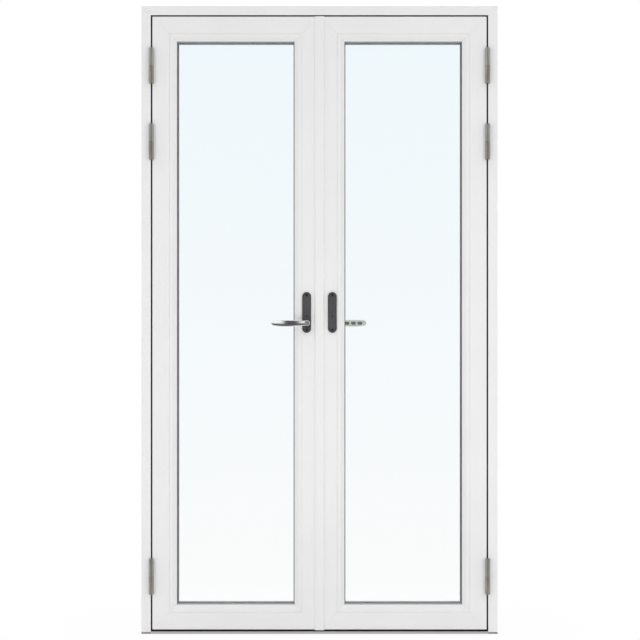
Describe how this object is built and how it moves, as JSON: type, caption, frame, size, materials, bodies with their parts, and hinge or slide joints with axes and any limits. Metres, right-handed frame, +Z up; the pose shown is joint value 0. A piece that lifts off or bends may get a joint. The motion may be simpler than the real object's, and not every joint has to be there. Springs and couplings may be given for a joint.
{
  "type": "french doors",
  "caption": "Outward opening pair of glazed doors in a rebated frame, with mitred white cladding, lift-off hinges, a lever espagnolette, shoot bolts and a meeting strip.",
  "frame": {"origin": "middle of the threshold underside, at half the depth of the frame", "axes": "+Z up, -Y towards the outside, +X to the right as seen from outside"},
  "size_m": [1.18, 0.1798, 2.08],
  "materials": {
    "white_cladding": "white powder coat, satin",
    "white_timber": "white painted timber, satin",
    "threshold_timber": "oiled hardwood",
    "threshold_aluminium": "anodised, matt",
    "seal_rubber": "dark grey extruded rubber",
    "hinge_zinc": "zinc plated steel",
    "lock_steel": "bright zinc plated steel",
    "glass": "clear float glass",
    "spacer_black": "warm edge spacer with sealant",
    "block_plastic": "plain plastic",
    "plate_anthracite": "anthracite lacquer, satin",
    "lever_steel": "satin polished steel"
  },
  "bodies": {
    "frame": {"left_jamb": "white_timber", "right_jamb": "white_timber", "head": "white_timber", "threshold_base": "threshold_timber", "threshold_plate": "threshold_aluminium", "left_jamb_cladding": "white_cladding", "right_jamb_cladding": "white_cladding", "head_cladding": "white_cladding", "stop_seal": "seal_rubber", "left_hinge_pins": "hinge_zinc", "right_hinge_pins": "hinge_zinc", "head_keep": "lock_steel", "threshold_keep": "lock_steel"},
    "left_leaf": {"left_hinge_stile": "white_timber", "left_lock_stile": "white_timber", "left_top_rail": "white_timber", "left_bottom_rail": "white_timber", "left_cladding": "white_cladding", "left_glazing_beads": "white_cladding", "left_glazing_seals": "seal_rubber", "left_outer_pane": "glass", "left_inner_pane": "glass", "left_spacer": "spacer_black", "left_setting_blocks": "block_plastic", "left_hinge_knuckles": "hinge_zinc", "left_lock_case": "lock_steel", "left_forend": "lock_steel", "left_outer_plate": "plate_anthracite", "left_inner_plate": "plate_anthracite", "left_plate_screws": "plate_anthracite", "meeting_strip": "white_cladding"},
    "right_leaf": {"right_hinge_stile": "white_timber", "right_lock_stile": "white_timber", "right_top_rail": "white_timber", "right_bottom_rail": "white_timber", "right_cladding": "white_cladding", "right_glazing_beads": "white_cladding", "right_glazing_seals": "seal_rubber", "right_outer_pane": "glass", "right_inner_pane": "glass", "right_spacer": "spacer_black", "right_setting_blocks": "block_plastic", "right_hinge_knuckles": "hinge_zinc", "right_lock_case": "lock_steel", "right_forend": "lock_steel", "right_outer_plate": "plate_anthracite", "right_inner_plate": "plate_anthracite", "right_plate_screws": "plate_anthracite"},
    "left_handle": {"left_outer_lever": "lever_steel", "left_inner_lever": "lever_steel", "left_spindle": "lock_steel", "left_hub": "lock_steel"},
    "right_handle": {"right_inner_lever": "lever_steel", "right_spindle": "lock_steel", "right_hub": "lock_steel"},
    "left_bolt_set": {"left_bolts": "lock_steel"},
    "left_rod_set": {"left_drive_rods": "lock_steel"},
    "upper_shoot": {"upper_shoot_bolt": "lock_steel"},
    "lower_shoot": {"lower_shoot_bolt": "lock_steel"}
  },
  "joints": [
    {"name": "left_leaf_swing", "type": "hinge", "parent": "frame", "child": "left_leaf", "pos_m": [-0.55625, -0.061, 1.03], "axis": [0, 0, -1], "range_deg": [0, 110]},
    {"name": "right_leaf_swing", "type": "hinge", "parent": "frame", "child": "right_leaf", "pos_m": [0.55625, -0.061, 1.03], "axis": [0, 0, 1], "range_deg": [0, 110]},
    {"name": "left_handle_turn", "type": "hinge", "parent": "left_leaf", "child": "left_handle", "pos_m": [-0.041, -0.061, 1.03], "axis": [0, -1, 0], "range_deg": [0, 90]},
    {"name": "right_handle_turn", "type": "hinge", "parent": "right_leaf", "child": "right_handle", "pos_m": [0.041, -0.061, 1.03], "axis": [0, 1, 0], "range_deg": [0, 90]},
    {"name": "left_bolt_throw", "type": "slide", "parent": "left_leaf", "child": "left_bolt_set", "axis": [1, 0, 0], "range_m": [0, 0.016]},
    {"name": "left_rod_slide", "type": "slide", "parent": "left_leaf", "child": "left_rod_set", "axis": [0, 0, 1], "range_m": [0, 0.013]},
    {"name": "upper_shoot_throw", "type": "slide", "parent": "right_leaf", "child": "upper_shoot", "axis": [0, 0, 1], "range_m": [0, 0.013]},
    {"name": "lower_shoot_throw", "type": "slide", "parent": "right_leaf", "child": "lower_shoot", "axis": [0, 0, -1], "range_m": [0, 0.013]}
  ],
  "couplings": [
    {"joint": "left_bolt_throw", "follows": "left_handle_turn", "m_per_rad": 0.010185},
    {"joint": "left_rod_slide", "follows": "left_handle_turn", "m_per_rad": 0.008275},
    {"joint": "upper_shoot_throw", "follows": "right_handle_turn", "m_per_rad": 0.008275},
    {"joint": "lower_shoot_throw", "follows": "right_handle_turn", "m_per_rad": 0.008275}
  ]
}
